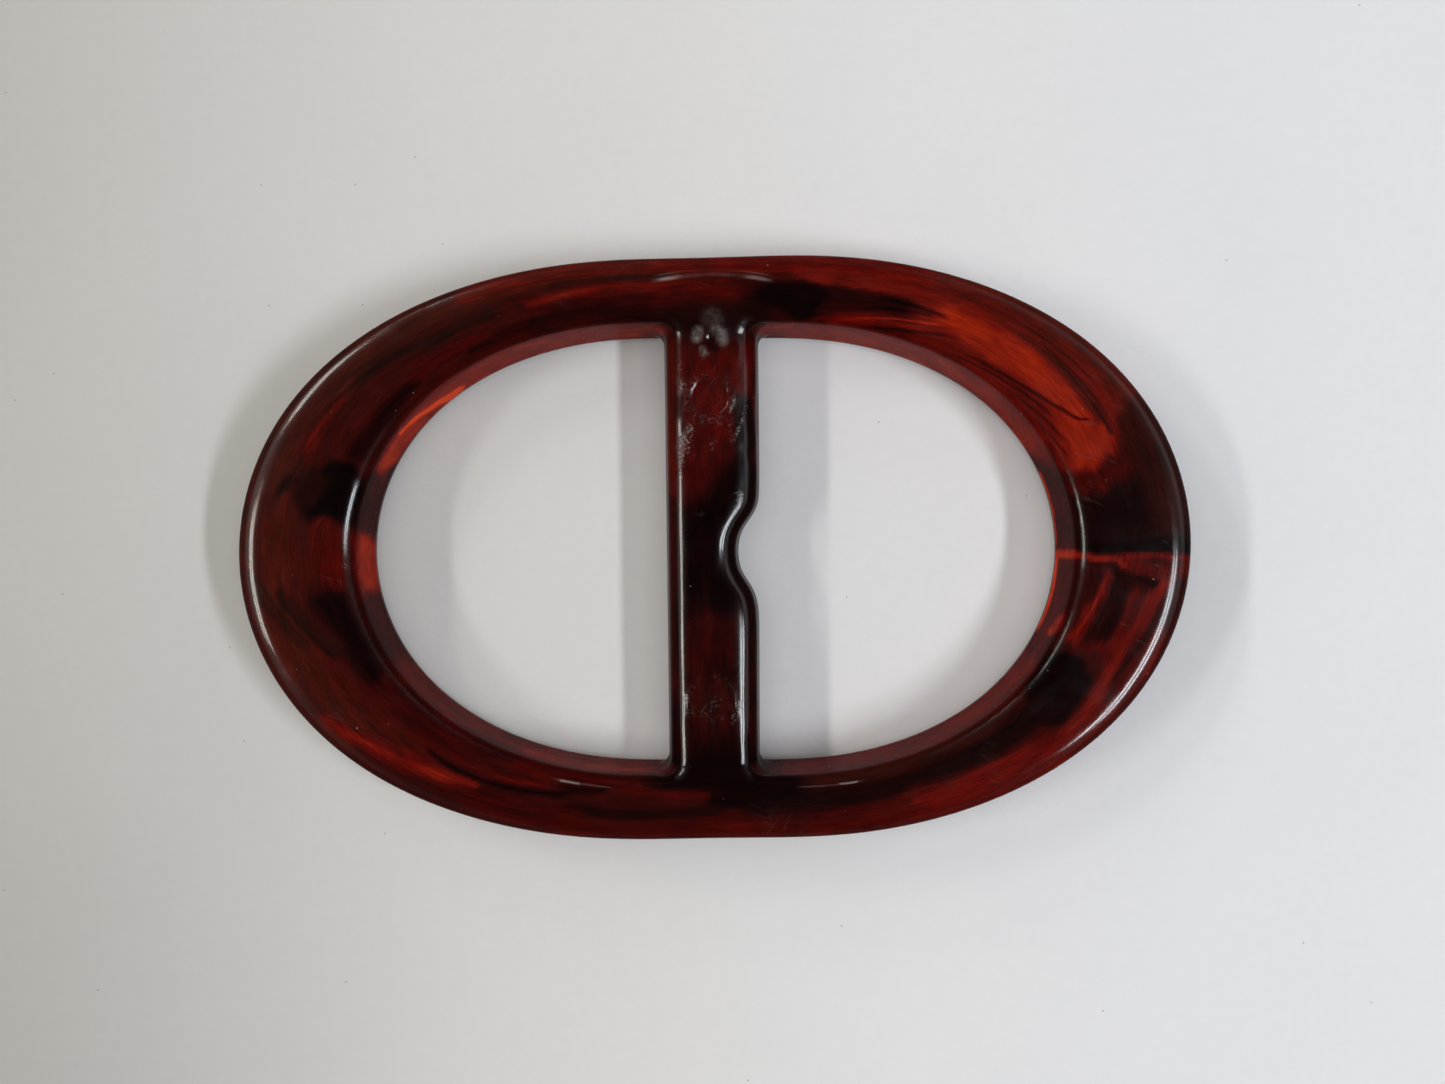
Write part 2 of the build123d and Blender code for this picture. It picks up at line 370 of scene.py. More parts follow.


# Clouds of the ring's face.  Each: lightness (0 black, 1 bright orange), brown haze (in part a painted reflection),
# half width across the ring, softness, then (degrees round the ring, across the ring) points.
FACE = [
    # left end, upper half
    (0.36, 0.9, 0.20, 0.7, [(186, 0.74), (150, 0.76), (128, 0.78)]),
    (0.35, 0.2, 0.24, 0.7, [(163, 0.42), (146, 0.38), (124, 0.34)]),
    (0.36, 0.3, 0.22, 0.5, [(190, 0.50), (175.5, 0.50)]),
    (0.43, 0.2, (0.07, 0.04), 0.6, [(163.6, 0.60), (153, 0.59)]),
    (0.17, 0.0, (0.09, 0.05), 0.9, [(160, 0.20), (152, 0.21), (142, 0.23)]),
    (0.21, 0.4, 0.06, 0.8, [(150, 0.61), (142, 0.56), (136, 0.50), (127, 0.52)]),
    (0.35, 0.0, (0.10, 0.06), 0.8, [(141, 0.32), (130, 0.30)]),
    (0.08, 0.0, (0.24, 0.23), 0.25, [(171.0, 0.27), (166.6, 0.26)]),
    (0.19, 0.2, (0.10, 0.13), 0.4, [(171.5, 0.50), (166.8, 0.46)]),
    (0.20, 0.2, (0.02, 0.06), 0.6, [(172, 0.72), (168, 0.62)]),
    (0.48, 0.1, 0.10, 0.8, [(-177, 0.25), (-184, 0.25)]),
    # upper left, to the root of the bar
    (0.55, 0.6, 0.13, 0.6, [(129, 0.82), (112, 0.82), (95, 0.82)]),
    (0.42, 0.5, (0.05, 0.06), 0.7, [(126, 0.66), (110, 0.68), (97, 0.66)]),
    (0.33, 0.0, 0.10, 0.8, [(122, 0.42), (96, 0.42)]),
    (0.58, 0.1, (0.050, 0.085), 0.8, [(121, 0.48), (114, 0.53), (104, 0.55), (96, 0.53), (88, 0.50)]),
    (0.20, 0.0, (0.03, 0.13), 0.85, [(132, 0.20), (122, 0.24), (113, 0.27), (101, 0.21)]),
    (0.29, 0.0, 0.05, 0.8, [(105, 0.36), (99, 0.33)]),
    (0.28, 0.4, 0.025, 0.6, [(116, 0.66), (98, 0.665)]),
    (0.56, 0.2, 0.16, 0.7, [(96, 0.84), (84, 0.84)]),
    (0.40, 0.0, 0.10, 0.7, [(98, 0.42), (86, 0.46)]),
    (0.17, 0.1, 0.20, 0.5, [(96, 0.10), (84, 0.14)]),
    # upper right: black blotch with feathers, red streaks between
    (0.55, 0.1, 0.16, 0.6, [(84, 0.84), (66, 0.84), (50, 0.82)]),
    (0.62, 0.1, 0.09, 0.6, [(76, 0.70), (62, 0.72), (50, 0.70)]),
    (0.71, 0.2, (0.05, 0.08), 0.5, [(74, 0.61), (67, 0.58), (58, 0.60), (49, 0.58)]),
    (0.45, 0.0, 0.22, 0.6, [(72, 0.22), (56, 0.24)]),
    (0.62, 0.0, (0.05, 0.05), 0.6, [(69, 0.14), (62, 0.20), (55, 0.31), (50, 0.38)]),
    (0.44, 0.0, 0.06, 0.7, [(66, 0.08), (50, 0.10)]),
    (0.16, 0.0, 0.17, 0.7, [(82, 0.34), (78, 0.36)]),
    (0.10, 0.0, (0.16, 0.22), 0.35, [(80, 0.42), (77.5, 0.40), (75.5, 0.35)]),
    (0.11, 0.0, (0.21, 0.08), 0.30, [(76, 0.34), (71, 0.37), (66, 0.43)]),
    (0.22, 0.1, (0.095, 0.030), 0.45, [(70, 0.46), (65, 0.455), (59, 0.47), (54, 0.455), (50.2, 0.452)]),
    (0.24, 0.0, (0.060, 0.035), 0.5, [(72, 0.28), (65, 0.34), (59, 0.40), (53, 0.43)]),
    (0.36, 0.0, 0.030, 0.5, [(65, 0.09), (58, 0.16), (53, 0.23), (49.0, 0.285)]),
    # right: the bright orange cloud
    (0.50, 0.7, 0.18, 0.6, [(52, 0.80), (36, 0.78), (22, 0.80)]),
    (0.66, 0.2, 0.36, 0.4, [(51, 0.38), (38, 0.36), (22, 0.36)]),
    (0.98, 0.0, (0.12, 0.14), 0.75, [(51, 0.47), (44, 0.43), (30, 0.41), (24, 0.42)]),
    (0.92, 0.0, 0.22, 0.45, [(21.5, 0.38), (18.8, 0.36)]),
    (0.46, 0.6, (0.02, 0.055), 0.7, [(43, 0.64), (34, 0.60), (28, 0.57), (22, 0.54)]),
    (0.66, 0.3, (0.02, 0.035), 0.6, [(31, 0.66), (25, 0.63), (19, 0.605)]),
    (0.36, 0.3, 0.02, 0.7, [(24, 0.57), (18, 0.56)]),
    # right end, dark
    (0.15, 0.1, 0.45, 0.16, [(6.3, -0.3), (6.3, 0.5), (6.0, 1.3)]),
    (0.26, 0.4, 0.16, 0.7, [(18, 0.80), (10, 0.80), (3, 0.80)]),
    (0.40, 0.0, 0.12, 0.8, [(13.0, 0.16), (12.4, 0.34), (12.8, 0.46)]),
    # below the knit line
    (0.27, 0.1, 0.50, 0.12, [(-10.0, -0.3), (-10.0, 0.5), (-10.0, 1.3)]),
    (0.68, 0.1, (0.06, 0.07), 0.6, [(-5.8, 0.74), (-9, 0.66), (-14, 0.60), (-21, 0.60), (-27, 0.67), (-33, 0.72)]),
    (0.56, 0.2, 0.09, 0.7, [(-14, 0.84), (-34, 0.80)]),
    (0.50, 0.0, 0.05, 0.8, [(-8, 0.53), (-20, 0.52)]),
    (0.30, 0.2, 0.035, 0.6, [(-10, 0.77), (-14.5, 0.73)]),
    (0.20, 0.0, (0.06, 0.06), 0.5, [(-7, 0.40), (-12, 0.42), (-17.4, 0.40)]),
    (0.42, 0.0, 0.055, 0.7, [(-19.2, 0.52), (-19.6, 0.38), (-19.4, 0.22)]),
    (0.60, 0.0, (0.035, 0.055), 0.6, [(-5.6, 0.30), (-9, 0.29), (-13, 0.23), (-19.5, 0.17)]),
    (0.10, 0.0, (0.21, 0.23), 0.22, [(-25.4, 0.28), (-31.6, 0.30)]),
    (0.14, 0.0, (0.06, 0.12), 0.4, [(-25, 0.46), (-32, 0.48)]),
    (0.50, 0.0, 0.065, 0.6, [(-3.4, 0.92), (-4.2, 0.74), (-4.0, 0.58), (-3.2, 0.44)]),
    (0.78, 0.0, (0.030, 0.040), 0.5, [(-3.6, 0.40), (-2.9, 0.33), (-3.0, 0.20), (-2.5, 0.02)]),
    (0.20, 0.0, 0.030, 0.6, [(-5.6, 0.68), (-5.5, 0.50), (-4.9, 0.34)]),
    (0.10, 0.0, 0.060, 0.3, [(-0.6, 0.95), (-0.7, 0.02)]),
    (0.58, 0.0, 0.028, 0.5, [(-1.9, 0.96), (-2.1, 0.50), (-2.3, 0.40)]),
    # lower right
    (0.56, 0.1, 0.20, 0.6, [(-36, 0.78), (-52, 0.76)]),
    (0.44, 0.1, (0.20, 0.17), 0.6, [(-52, 0.74), (-66, 0.76), (-90, 0.78)]),
    (0.76, 0.2, (0.08, 0.05), 0.7, [(-37, 0.70), (-43, 0.62), (-50, 0.60), (-58, 0.62)]),
    (0.36, 0.0, 0.06, 0.8, [(-66, 0.60), (-92, 0.62)]),
    (0.15, 0.1, (0.12, 0.15), 0.6, [(-33, 0.34), (-50, 0.35), (-66, 0.38), (-84, 0.42)]),
    (0.29, 0.5, 0.08, 0.8, [(-40, 0.13), (-58, 0.14), (-76, 0.14)]),
    (0.11, 0.0, 0.26, 0.5, [(-80, 0.14), (-97, 0.04)]),
    (0.13, 0.0, 0.10, 0.6, [(-82, 0.36), (-90, 0.42)]),
    # lower left
    (0.40, 0.1, 0.16, 0.7, [(-92, 0.82), (-110, 0.80), (-128, 0.74)]),
    (0.17, 0.1, (0.07, 0.05), 0.6, [(-90, 0.52), (-99, 0.58), (-107, 0.57), (-114, 0.52)]),
    (0.43, 0.0, (0.03, 0.09), 0.9, [(-91, 0.35), (-99, 0.31), (-106, 0.24), (-113, 0.18), (-124, 0.17)]),
    (0.34, 0.0, 0.12, 0.8, [(-114, 0.66), (-132, 0.66)]),
    (0.33, 0.0, 0.16, 0.7, [(-128, 0.26), (-152, 0.28)]),
    (0.40, 0.2, 0.17, 0.7, [(-136, 0.54), (-150, 0.54), (-160, 0.52)]),
    (0.41, 0.7, 0.18, 0.7, [(-150, 0.74), (-162, 0.72), (-186, 0.72)]),
    (0.19, 0.0, (0.025, 0.040), 0.5, [(-109, 0.29), (-113, 0.31), (-117, 0.40), (-122, 0.44), (-130, 0.45)]),
    (0.20, 0.0, 0.035, 0.6, [(-110, 0.31), (-116, 0.29)]),
    (0.23, 0.0, (0.040, 0.020), 0.6, [(-128, 0.46), (-134, 0.47), (-140, 0.42)]),
    (0.41, 0.0, 0.055, 0.6, [(-119, 0.32), (-127, 0.36), (-134, 0.36)]),
    (0.74, 0.0, (0.045, 0.080), 0.75, [(-130.5, 0.55), (-136, 0.58), (-141, 0.62)]),
    (0.62, 0.0, (0.080, 0.065), 0.75, [(-141, 0.63), (-147, 0.71), (-152.5, 0.78)]),
    (0.12, 0.0, (0.10, 0.13), 0.85, [(-155, 0.20), (-161, 0.22), (-167, 0.24), (-171, 0.30)]),
    (0.24, 0.4, (0.05, 0.04), 0.7, [(-162, 0.36), (-169, 0.50), (-175, 0.64)]),
    (0.27, 0.6, (0.015, 0.03), 0.7, [(-166, 0.60), (-172, 0.74), (-177, 0.84)]),
    (0.46, 0.0, (0.05, 0.12), 0.7, [(-172.5, 0.20), (-177, 0.24), (-184, 0.25)]),
    (0.60, 0.0, (0.10, 0.15), 1.0, [(-36, 0.70), (-45, 0.68), (-56, 0.66)]),
]

# Clouds of the walls of the two openings, with painted glow: light shining through the plastic is painted into their
# lightness. In (degrees round the ring, height in mm).
WALL_CLOUDS_AND_GLOW = [
    (0.86, 0.0, 2.6, 0.45, [(146, 2.6), (120, 2.6), (103, 2.6)]),
    (0.62, 0.1, 2.6, 0.45, [(-30, 2.6), (-60, 2.6), (-92, 2.6), (-150, 2.6)]),
    (0.88, 0.0, 2.6, 0.45, [(77, 2.6), (52, 2.6), (27, 2.6)]),
    (0.36, 0.0, 2.6, 0.5, [(9, 2.6), (2, 2.6)]),
    (0.88, 0.0, 2.2, 0.5, [(187, 2.6), (180, 2.6)]),
    (0.34, 0.0, 1.7, 0.7, [(170.5, 2.6), (168.0, 2.6)]),
    (1.05, 0.0, 1.5, 0.6, [(159, 2.6), (152, 2.4)]),
    (1.65, 0.0, (0.26, 0.50), 0.8, [(153, 3.4), (146, 2.5), (139.5, 1.9), (135, 1.6)]),
    (1.20, 0.0, (0.25, 0.18), 0.6, [(17, 1.2), (6, 1.15), (0, 1.1)]),
    (0.44, 0.1, 2.2, 0.5, [(-7, 2.6), (-22, 2.6)]),
    (1.30, 0.0, 0.30, 0.6, [(-3, 1.2), (-12, 1.3), (-20, 1.15)]),
    (1.10, 0.0, 0.42, 0.5, [(-2.5, 4.6), (-2.7, 2.6), (-2.2, 0.8)]),
    (1.00, 0.0, 0.55, 0.7, [(-17, 4.3), (-18.5, 3.5)]),
    (0.85, 0.0, 0.7, 0.7, [(-98, 3.2), (-112, 3.4), (-122, 3.0)]),
    (0.20, 0.0, 1.7, 0.8, [(-84, 2.6), (-95, 2.6)]),
    (0.30, 0.0, 1.6, 0.8, [(91.5, 2.6), (88, 2.6)]),
    (0.35, 0.0, 1.8, 0.6, [(-158, 2.4), (-167, 2.4)]),
    (1.05, 0.0, 1.0, 0.7, [(-175, 3.0), (-182, 3.0)]),
]

# Clouds of the bar, in mm (along the bar, across the bar).
BAR = [
    (0.38, 0.1, 3.2, 0.4, [(12.5, 0.0), (6.5, 0.0)]),
    (0.25, 0.0, (2.2, 2.6), 0.7, [(-6.4, 0.0), (-10.5, 0.0)]),
    (0.41, 0.1, 1.7, 0.7, [(11.6, -0.2), (6.0, -0.5)]),
    (0.49, 0.0, (0.5, 0.4), 0.8, [(11.4, 1.9), (9.8, 1.7)]),
    (0.50, 0.0, 0.8, 0.9, [(8.4, 0.0), (7.0, 0.1)]),
    (0.38, 0.0, (1.2, 0.8), 0.8, [(6.2, -0.9), (3.0, -1.3)]),
    (0.11, 0.0, (0.4, 1.9), 0.5, [(6.4, 1.9), (4.2, 1.5), (1.8, 0.55)]),
    (0.115, 0.0, 2.1, 0.5, [(1.0, 0.0), (-2.2, 0.2)]),
    (0.12, 0.0, (0.5, 0.8), 0.6, [(8.8, 1.7), (6.4, 2.0)]),
    (0.45, 0.5, (0.55, 0.4), 0.7, [(13.0, -2.6), (7.0, -2.8), (3.5, -2.8)]),
    (0.30, 0.3, 0.4, 0.7, [(3, -2.8), (-9, -2.8)]),
    (0.29, 0.1, (0.9, 1.2), 0.9, [(-4.9, -0.7), (-8.0, -0.9)]),
    (0.27, 0.0, 0.9, 0.9, [(-5.2, 0.5), (-7.0, 0.2)]),
    (0.30, 0.2, 1.25, 0.25, [(-9.3, -0.28), (-9.31, -0.28)]),
    (0.26, 0.2, 0.9, 0.8, [(-10.5, -0.4), (-11.4, -0.2)]),
    (0.085, 0.0, 2.6, 0.6, [(-14.4, 0.2), (-15.6, 0.4)]),
    (0.12, 0.0, 1.8, 0.7, [(14.2, -0.2), (15.0, -0.6)]),
    (0.42, 0.0, 0.7, 0.7, [(13.0, -0.3), (11.5, 0.6)]),
    (0.20, 0.0, 0.55, 0.7, [(13.6, 0.2), (12.6, -0.2)]),
]

# Dull, scuffed places on the bar, in mm (along, across).
SCUFFS = [
    (1.00, (0.16, 0.42), 0.6, [(7.6, -1.45), (6.9, -1.6), (6.2, -1.95)]),
    (0.80, (0.34, 0.13), 0.6, [(6.5, -1.95), (5.6, -2.08), (4.6, -2.15)]),
    (0.60, 0.20, 0.7, [(10.1, -1.9), (9.7, -2.0)]),
    (0.50, 0.14, 0.7, [(11.4, -2.1), (11.0, -2.15)]),
    (0.45, 0.12, 0.7, [(8.9, -1.8), (8.5, -1.7)]),
    (0.45, 0.11, 0.6, [(9.2, 2.05), (8.2, 1.85), (7.4, 1.45), (6.6, 1.1)]),
    (0.40, 0.11, 0.6, [(9.3, 1.15), (8.2, 1.0), (7.2, 0.85)]),
    (0.30, 0.25, 0.7, [(8.0, -1.1), (7.8, 0.3)]),
    (0.30, 0.25, 0.8, [(-9.7, 1.3), (-10.6, 1.0)]),
    (0.30, 0.20, 0.8, [(-9.2, -1.7), (-10.2, -1.7)]),
    (0.22, 0.25, 0.8, [(-9.4, 0.2), (-10.1, -0.7)]),
    (0.40, 0.20, 0.8, [(3.5, 1.4), (2.7, 1.55)]),
    (0.50, 0.14, 0.8, [(6.6, -0.1), (6.2, -0.2)]),
]

# Painted highlights of the upper root: smooth pale marks on the flow lumps standing in for glints, in mm (along,
# across).
ROOT_GLINTS = [
    (0.50, 0.24, 1.0, [(13.45, 0.10), (13.20, 0.48), (12.75, 0.55)]),
    (0.12, 0.50, 1.0, [(14.20, -0.15), (14.10, 0.0)]),
    (0.60, 0.24, 1.0, [(13.30, -1.00), (12.95, -1.05)]),
    (0.50, 0.15, 1.0, [(12.25, -0.72), (11.95, -0.60)]),
]


def paint(P, nz):
    """Per point: (lightness, brown haze, scuffing) of the marbled colour, with painted glow in the walls' lightness, in
    part a painted reflection in the haze and painted highlights as negative scuffing, the coordinates along which its
    fine streaks run, and how dull the surface is (nz: upward part of its normal)."""
    x, y, z = P.T
    phi, t, di = flow(P)
    rc, rs = np.cos(np.radians(phi)) * 21, np.sin(np.radians(phi)) * 21
    # the marbling is a little different through the thickness
    deep = np.clip(4.6 - z, 0, 5)
    v = t * ACROSS
    wobble = 1 + 0.8 * deep
    du = 0.42 * noise(rc * 0.45, rs * 0.45, v * 0.7, 3) + 0.34 * noise(rc * 0.8, rs * 0.8, v * 2.6, 5)
    dv = 0.11 * noise(rc * 0.45, rs * 0.45, v * 0.7 + 9, 7) + 0.10 * noise(rc * 0.9, rs * 0.9, v * 2.2, 11)
    calm = 1 - 0.85 * bell(phi + 2.0, 3.5)
    du, dv = du * wobble * calm, dv * wobble * (1 + 0.5 * deep) * calm
    ang = phi + 0.5 * deep * (t > 0.5)
    L = np.full(len(P), 0.30)
    V = np.full(len(P), 0.15)

    def lay(L, V, table, to_mm, u_of, vv, gain=1.0):
        for (light, haze_and_sheen, half, soft, pts) in table:
            p0 = pts[0][0]
            mm = [((a - p0) * to_mm[0], b * to_mm[1]) for a, b in pts]
            hh = tuple(h * to_mm[1] for h in half) if isinstance(half, tuple) else half * to_mm[1]
            m = brush(u_of(p0), vv, mm, hh, soft) * gain
            L = L + (light - L) * m
            V = V + (haze_and_sheen - V) * m
        return L, V

    around = lambda p0: ((ang - p0 + 180) % 360 - 180) * PER_DEGREE + du
    L, V = lay(L, V, FACE, (PER_DEGREE, ACROSS), around, np.clip(v, 0, ACROSS) + dv)
    # walls of the openings: their clouds with the painted glow, darker towards the top of the wall
    wall = ramp(4.62 - z, 0.0, 0.45) * (1 - ramp(t, 0.10, 0.16)) * ramp(z, 0.1, 0.5) * ramp(di, -0.3, 0.0)
    L_wall_glow, Vw = lay(L.copy(), V.copy(), WALL_CLOUDS_AND_GLOW, (PER_DEGREE, 1.0), around, z + 0.10 * noise(rc, rs, z, 13))
    L_wall_glow = L_wall_glow * (1 - 0.22 * ramp(z, 3.2, 4.3))
    L, V = L + (L_wall_glow - L) * wall, V + (Vw - V) * wall
    # bar
    inbar = (1 - ramp(di, -1.0, 0.35)) * (np.abs(x) < 4.5)
    bx = x + 0.18 * noise(x * 0.8, y * 0.35, z * 0.5, 17) * (1 + 0.3 * deep)
    by = y + 0.40 * noise(x * 0.8, y * 0.35, z * 0.5 + 4, 19) * (1 + 0.3 * deep)
    Lb, Vb = lay(np.full(len(P), 0.17), np.full(len(P), 0.1), BAR, (1.0, 1.0), lambda p0: by - p0, bx)
    L, V = L + (Lb - L) * inbar, V + (Vb - V) * inbar
    S = np.zeros(len(P))
    for (amount, half, soft, pts) in SCUFFS:
        p0 = pts[0][0]
        S = np.maximum(S, amount * brush(y - p0, x, [(a - p0, b) for a, b in pts], half, soft))
    for (ex, ey, amount) in ((-0.28, 9.32, 0.30), (-0.28, -9.30, 0.22)):
        d = np.hypot(x - ex, y - ey)
        S = np.maximum(S, amount * bell(d - 1.36, 0.16) * (0.45 + 0.55 * ramp(noise(x * 1.6, y * 1.6, z, 23), -0.3, 0.5)))
    S = S * ramp(z, 3.6, 4.2) * inbar
    B = np.zeros(len(P))
    for (amount, half, soft, pts) in ROOT_GLINTS:
        p0 = pts[0][0]
        B = np.maximum(B, amount * brush(y - p0, x, [(a - p0, b) for a, b in pts], half, soft))
    S = np.where(B > 0.02, -B, S)  # painted highlights of the flow lumps are kept below zero, scuffs above
    # streak coordinates: long along the ring and along the bar, short across
    run = np.stack([rc * 0.22, rs * 0.22, v * 1.25 + 0.25 * z], axis=1)
    runb = np.stack([x * 0.75 + 30, y * 0.22, z * 0.6], axis=1)
    run = run + (runb - run) * inbar[:, None]
    # ring coordinates for the hair-thin streaks; far outside their range on the bar and the walls
    off = np.maximum(np.maximum(inbar, wall), ramp(3.6 - z, 0.0, 0.6))
    place = np.stack([rc / 21, rs / 21, t - 3 * off], axis=1)
    matt = ramp(4.3 - z, 0.0, 0.6) * ramp(z, 0.0, 0.3) * np.maximum(1 - ramp(t, 0.06, 0.12), inbar)
    lit = 0.885 + 0.055 * ramp(np.abs(x), 5, 24) * ramp(t, 0.5, 0.7) - 0.03 * ramp(np.abs(x), 5, 18) * ramp(t, 0.5, 0.3)
    lit = lit + 0.025 * inbar * (x > 0)
    steep = (1 - ramp(nz, lit - 0.06, lit)) * ramp(nz, -0.3, 0.0)
    # where an edge is dull it catches no lamp
    def dulled(angle, start, stop, fade):
        return ramp(angle, start - fade, start + fade) * (1 - ramp(angle, stop - fade, stop + fade))
    lips = (t < 0.35) * (1 - inbar)
    gap = np.maximum(dulled(phi, 118, 165, 1.6), 0.85 * dulled(phi, -15.3, -5.0, 0.8)) * lips
    gap = np.maximum(gap, 0.75 * dulled(phi, -34.5, -29.3, 0.8) * lips)
    gap = np.maximum(gap, 0.80 * dulled(phi, 134.5, 141.5, 0.9) * (t > 0.65))
    edge = inbar * ramp(-x, 1.2, 1.6) * dulled(y, 7.9, 13.4, 0.35) * (1 - 0.75 * bell(y - 10.0, 0.40))
    gap = np.maximum(gap, 0.94 * edge)
    return np.stack([L, V, S], axis=1), run, place, np.maximum(np.maximum(matt, steep), gap)


def piece_from(name, P, Q, keep_bar):
    """One of the two closed pieces, cut from the moulding on the planes y = +/-JOINT_Y."""
    bm = bmesh.new()
    centre = P[Q].mean(axis=1)
    near_bar = (np.abs(centre[:, 0]) < 4.2) & (np.abs(centre[:, 1]) < 13.0)
    use = near_bar if keep_bar else ~((np.abs(centre[:, 0]) < 4.2) & (np.abs(centre[:, 1]) < 11.9))
    ids = np.unique(Q[use])
    remap = -np.ones(len(P), int)
    remap[ids] = np.arange(len(ids))
    verts = [bm.verts.new(p) for p in P[ids].tolist()]
    for q in remap[Q[use]].tolist():
        bm.faces.new([verts[i] for i in q])
    bm.normal_update()
    for side in (1, -1):
        faces = [f for f in bm.faces if abs(f.calc_center_median().x) < 4.2
                 and abs(abs(f.calc_center_median().y) - JOINT_Y) < 0.6
                 and f.calc_center_median().y * side > 0]
        geom = faces + list({e for f in faces for e in f.edges}) + list({v for f in faces for v in f.verts})
        bmesh.ops.bisect_plane(bm, geom=geom, dist=1e-5, plane_co=(0, side * JOINT_Y, 0), plane_no=(0, side, 0))
    drop = []
    for f in bm.faces:
        c = f.calc_center_median()
        in_bar = abs(c.x) < 4.2 and abs(c.y) < JOINT_Y
        if in_bar != keep_bar:
            drop.append(f)
    bmesh.ops.delete(bm, geom=drop, context="FACES")
    for side in (1, -1):
        rim = [e for e in bm.edges if e.is_boundary and e.verts[0].co.y * side > 0]
        made = bmesh.ops.triangle_fill(bm, use_beauty=True, use_dissolve=False, edges=rim)
        for f in made["geom"]:
            if isinstance(f, bmesh.types.BMFace):
                f.material_index = 0
                f.tag = True
    bmesh.ops.recalc_face_normals(bm, faces=bm.faces)
    for f in bm.faces:
        f.smooth = True
    me = bpy.data.meshes.new(name)
    bm.to_mesh(me)
    bm.free()
    n = len(me.vertices)
    co = np.empty(n * 3)
    me.vertices.foreach_get("co", co)
    co = co.reshape(-1, 3)
    _, g = gradient(*co.T)
    N = g / np.linalg.norm(g, axis=1)[:, None]
    # loop normals: exact on the skin, flat on the joint faces
    loops = np.empty(len(me.loops), int)
    me.loops.foreach_get("vertex_index", loops)
    LN = N[loops].copy()
    cap = 0
    for p in me.polygons:
        ys = co[list(p.vertices), 1]
        if np.all(np.abs(np.abs(ys) - JOINT_Y) < 1e-4) and abs(p.normal.y) > 0.99:
            LN[p.loop_start:p.loop_start + p.loop_total] = (0, p.normal.y, 0)
            cap += 1
    me.normals_split_custom_set(LN)
    # the colour attribute "cloud" carries the marbling together with the painted glow, reflection and highlights
    colour, run, place, matt = paint(co, N[:, 2])
    for label, values in (("cloud", colour), ("run", run), ("place", place)):
        at = me.attributes.new(label, "FLOAT_VECTOR", "POINT")
        at.data.foreach_set("vector", values.astype(np.float32).ravel())
    at = me.attributes.new("matt", "FLOAT", "POINT")
    at.data.foreach_set("value", matt.astype(np.float32))
    me.transform(Matrix.Scale(0.001, 4))
    ob = bpy.data.objects.new(name, me)
    bpy.context.scene.collection.objects.link(ob)
    print(name, "vertices", n, "faces", len(me.polygons), "joint faces", cap)
    return ob


P, Q = surface(0.2)
P = relax(P, Q, 4)
ring = piece_from("ring_moulding", P, Q, False)
bar = piece_from("bar_moulding", P, Q, True)

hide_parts("oval_frame")
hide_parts("centre_bar")
for ob in (ring, bar):
    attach(ob, "root")

# ------------------------------------------------------------------ materials
class Nodes:
    """Short hand for building a node tree."""

    def __init__(self, tree):
        self.tree = tree

    def add(self, kind, **props):
        n = self.tree.nodes.new(kind)
        for k, v in props.items():
            setattr(n, k, v)
        return n

    def put(self, socket, value):
        if isinstance(value, bpy.types.NodeSocket):
            self.tree.links.new(value, socket)
        else:
            socket.default_value = value

    def math(self, op, a, b=0.0, c=0.0, clamp=False):
        n = self.add("ShaderNodeMath", operation=op, use_clamp=clamp)
        for s, v in zip(n.inputs, (a, b, c)):
            self.put(s, v)
        return n.outputs[0]

    def span(self, x, lo, hi, out_lo=0.0, out_hi=1.0):
        n = self.add("ShaderNodeMapRange", interpolation_type="SMOOTHSTEP")
        for s, v in zip(n.inputs, (x, lo, hi, out_lo, out_hi)):
            self.put(s, v)
        return n.outputs[0]

    def noise(self, vector, scale, detail=3.0, rough=0.5, distortion=0.0):
        n = self.add("ShaderNodeTexNoise")
        self.put(n.inputs["Vector"], vector)
        for k, v in (("Scale", scale), ("Detail", detail), ("Roughness", rough), ("Distortion", distortion)):
            n.inputs[k].default_value = v
        return n.outputs["Fac"]

    def scaled(self, vector, k):
        n = self.add("ShaderNodeVectorMath", operation="MULTIPLY")
        self.put(n.inputs[0], vector)
        n.inputs[1].default_value = k
        return n.outputs[0]

    def turned(self, vector, angles):
        n = self.add("ShaderNodeMapping")
        self.put(n.inputs["Vector"], vector)
        n.inputs["Rotation"].default_value = angles
        return n.outputs[0]

    def mix(self, fac, a, b):
        n = self.add("ShaderNodeMix", data_type="RGBA")
        self.put(n.inputs[0], fac)
        self.put(n.inputs[6], a)
        self.put(n.inputs[7], b)
        return n.outputs[2]

    def ramp(self, fac, stops):
        n = self.add("ShaderNodeValToRGB")
        e = n.color_ramp.elements
        while len(e) < len(stops):
            e.new(0.5)
        for k, (pos, col) in enumerate(stops):
            e[k].position = pos
            e[k].color = (*col, 1)
        self.put(n.inputs[0], fac)
        return n.outputs[0]


